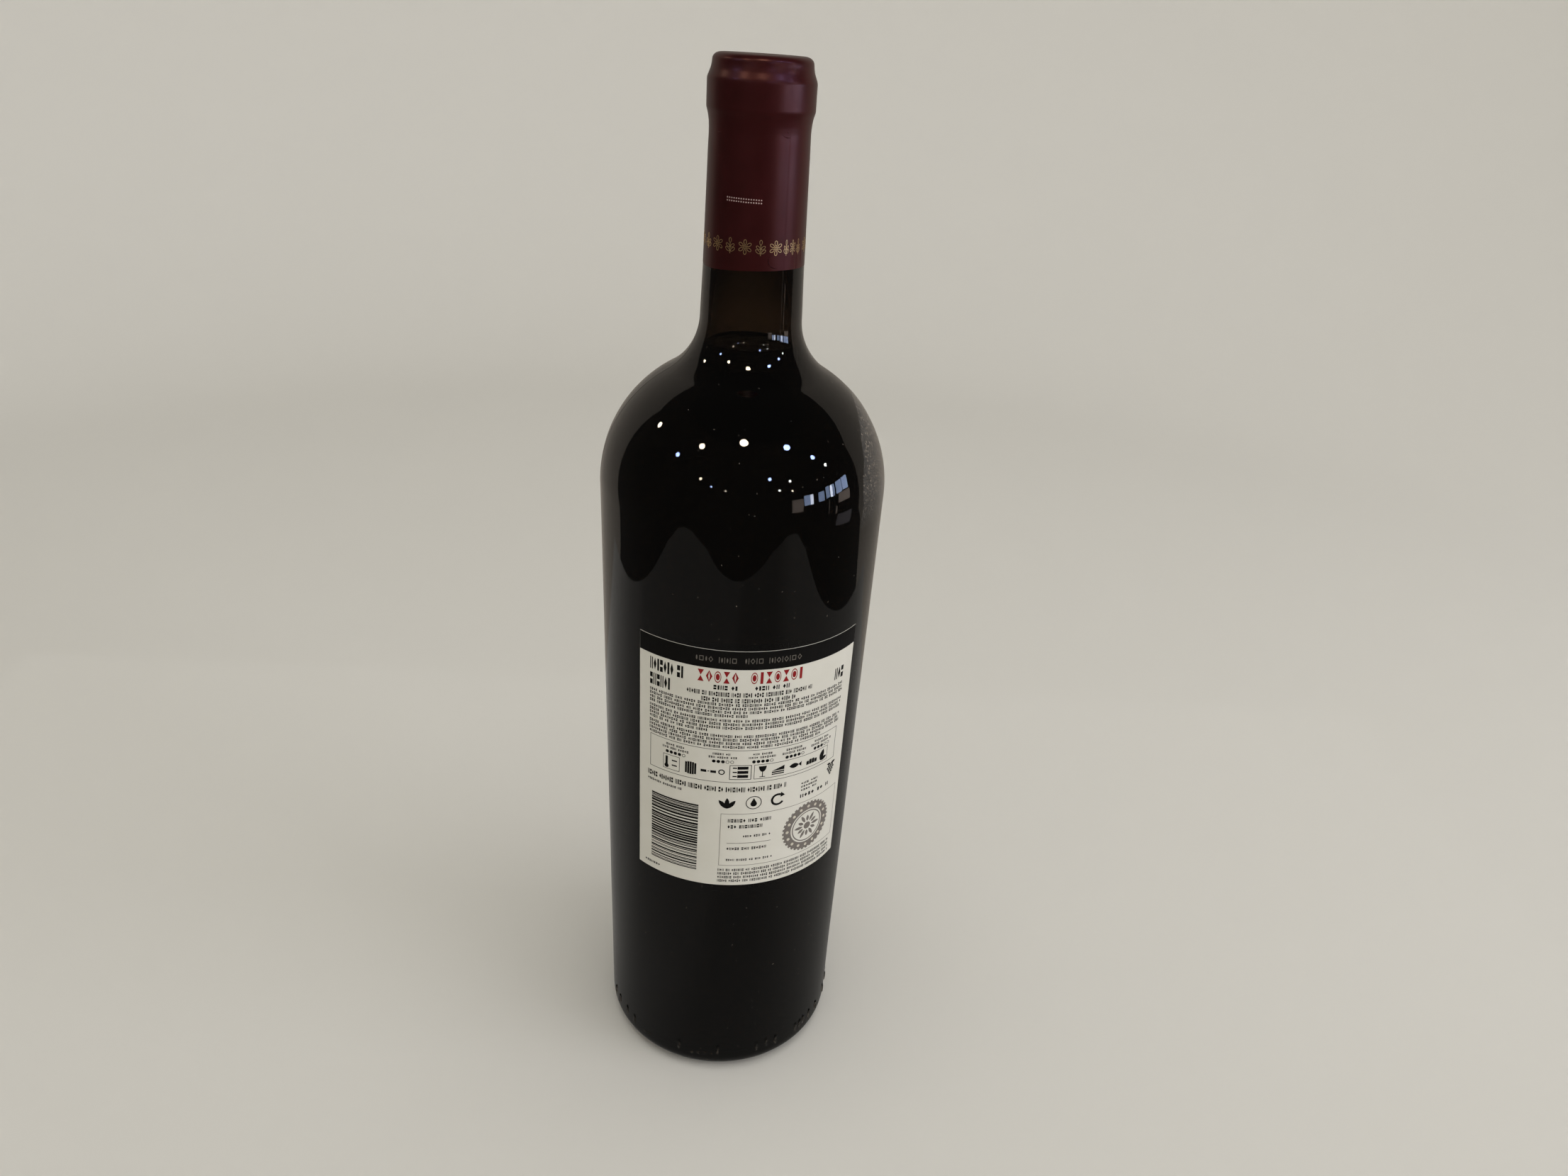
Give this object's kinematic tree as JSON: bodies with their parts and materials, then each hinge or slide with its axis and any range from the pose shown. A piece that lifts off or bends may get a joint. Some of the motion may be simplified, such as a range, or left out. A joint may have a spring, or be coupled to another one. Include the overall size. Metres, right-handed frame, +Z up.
{
  "type": "wine bottle",
  "caption": "Shut magnum wine bottle of dark glass with round shoulders, slim neck, wine inside, a burgundy capsule over the mouth and paper labels front and back.",
  "frame": {"origin": "centre of the foot, on the surface the bottle stands on", "axes": "+Z up along the bottle's axis; the back label, the side in the picture, faces -Y and the front label +Y"},
  "size_m": [0.0974, 0.0974, 0.37],
  "materials": {
    "dark_glass": "glossy near-black antique glass, brown where light comes through",
    "red_wine": "dark red drink",
    "burgundy_capsule": "satin burgundy with a row of thin gold ornaments above the hem",
    "cream_paper": "matt cream paper with a black band and fine print"
  },
  "bodies": {
    "root": {"glass_bottle": "dark_glass", "wine": "red_wine", "capsule": "burgundy_capsule", "back_label": "cream_paper", "front_label": "cream_paper"}
  },
  "joints": []
}
